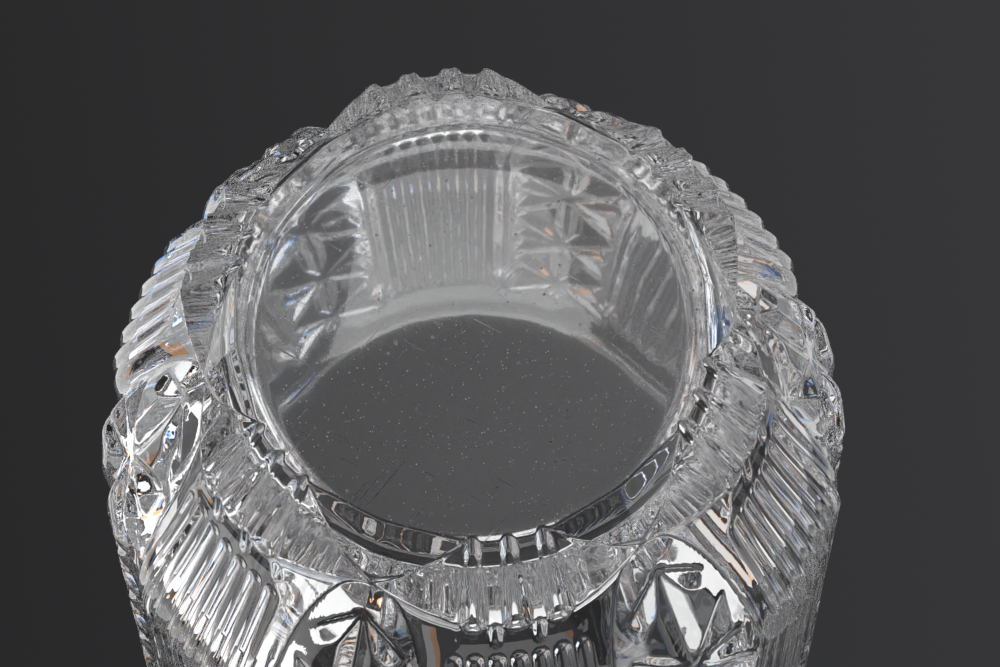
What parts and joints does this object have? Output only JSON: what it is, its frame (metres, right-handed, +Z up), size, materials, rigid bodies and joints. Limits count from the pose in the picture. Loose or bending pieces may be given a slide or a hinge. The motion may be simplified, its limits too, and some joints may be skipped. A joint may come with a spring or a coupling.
{
  "type": "cut crystal vase",
  "caption": "Clear cut-crystal vase with a polished flat base, a channelled shoulder, fluted columns and star-cut panels, open at the top.",
  "frame": {"origin": "centre of the flat base, on the surface that the vase stands on", "axes": "+Z up along the vase's axis, from the base to the mouth; -Y through the middle of one flute group"},
  "size_m": [0.14, 0.14, 0.155],
  "materials": {
    "crystal": "clear colourless lead crystal, acid-polished wheel cuts, polished flat base"
  },
  "bodies": {
    "root": {"vase_body": "crystal"}
  },
  "joints": []
}
